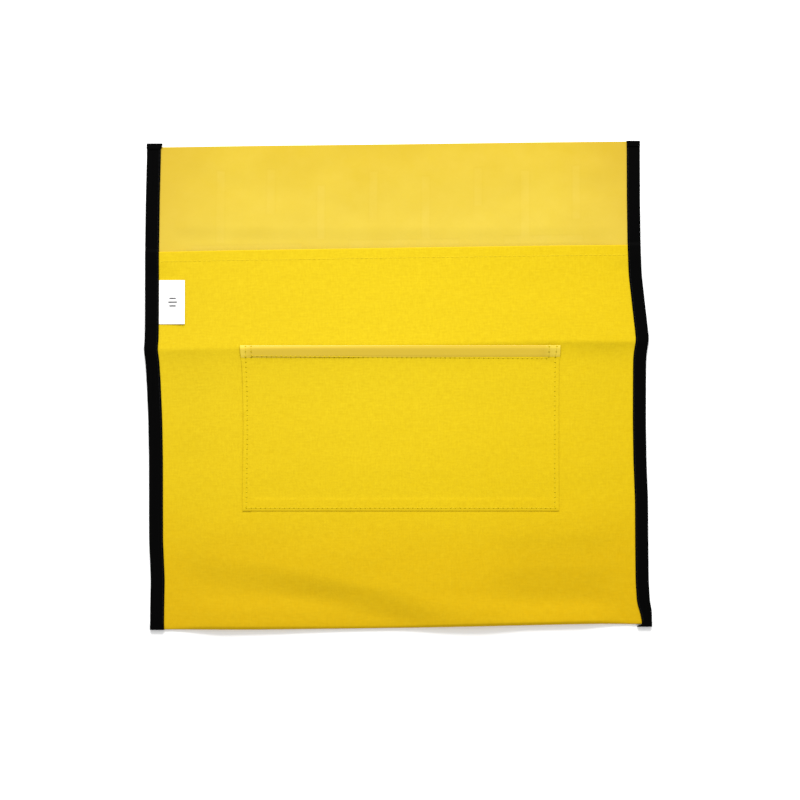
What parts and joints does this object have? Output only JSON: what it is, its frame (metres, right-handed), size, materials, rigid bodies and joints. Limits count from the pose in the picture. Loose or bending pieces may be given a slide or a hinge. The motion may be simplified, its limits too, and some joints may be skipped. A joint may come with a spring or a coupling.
{
  "type": "welding curtain screen",
  "caption": "Flat yellow coated-canvas screen folded into an open-topped sleeve, with black bound sides, a patch pocket on the front, a fold-over flap and a sewn-in label.",
  "frame": {"origin": "centre of the outline of the underside, on the surface that the screen lies on", "axes": "+X across the screen to the right as seen from the front, +Y from the bottom fold up to the top edge, +Z out of the front, up from the surface"},
  "size_m": [0.453, 0.44, 0.0104],
  "materials": {
    "canvas_woven_side": "matte yellow woven canvas",
    "canvas_coated_side": "smooth glossy yellow coating on the canvas",
    "binding_tape": "black ribbed webbing",
    "yellow_thread": "twisted yellow thread",
    "black_thread": "twisted black thread",
    "label_cloth": "white satin ribbon",
    "label_ink": "printed dark ink"
  },
  "bodies": {
    "lower": {"back_panel_lower": "canvas_woven_side", "front_panel_lower": "canvas_woven_side", "bottom_fold": "canvas_woven_side", "left_binding_lower": "binding_tape", "right_binding_lower": "binding_tape", "left_binding_lower_stitches": "black_thread", "right_binding_lower_stitches": "black_thread", "left_binding_bottom_tuck": "binding_tape", "right_binding_bottom_tuck": "binding_tape", "pocket_panel": "canvas_woven_side", "pocket_left_turning": "canvas_coated_side", "pocket_right_turning": "canvas_coated_side", "pocket_bottom_turning": "canvas_coated_side", "pocket_top_hem": "canvas_coated_side", "pocket_hem_stitches": "yellow_thread", "pocket_left_stitches": "yellow_thread", "pocket_right_stitches": "yellow_thread", "pocket_bottom_stitches": "yellow_thread", "pocket_left_tack": "yellow_thread", "pocket_right_tack": "yellow_thread"},
    "upper": {"back_panel_upper": "canvas_woven_side", "front_panel_upper": "canvas_woven_side", "front_mouth_hem": "canvas_coated_side", "front_mouth_hem_stitches": "yellow_thread", "left_binding_upper": "binding_tape", "right_binding_upper": "binding_tape", "left_binding_upper_stitches": "black_thread", "right_binding_upper_stitches": "black_thread"},
    "flap": {"top_flap": "canvas_coated_side", "left_binding_flap": "binding_tape", "right_binding_flap": "binding_tape", "left_binding_flap_stitches": "black_thread", "right_binding_flap_stitches": "black_thread", "left_binding_top_tuck": "binding_tape", "right_binding_top_tuck": "binding_tape"},
    "label": {"label": "label_cloth", "label_mark": "label_ink"}
  },
  "joints": [
    {"name": "crease_fold", "type": "hinge", "parent": "lower", "child": "upper", "pos_m": [0, 0.0361, 0.0123], "axis": [1, 0, 0], "range_deg": [0, 180]},
    {"name": "flap_fold", "type": "hinge", "parent": "upper", "child": "flap", "pos_m": [0, 0.133, 0.006], "axis": [1, 0, 0], "range_deg": [0, 180]},
    {"name": "label_flip", "type": "hinge", "parent": "upper", "child": "label", "pos_m": [-0.2136, 0.07485, 0.0035], "axis": [0, -1, 0], "range_deg": [0, 175]}
  ]
}
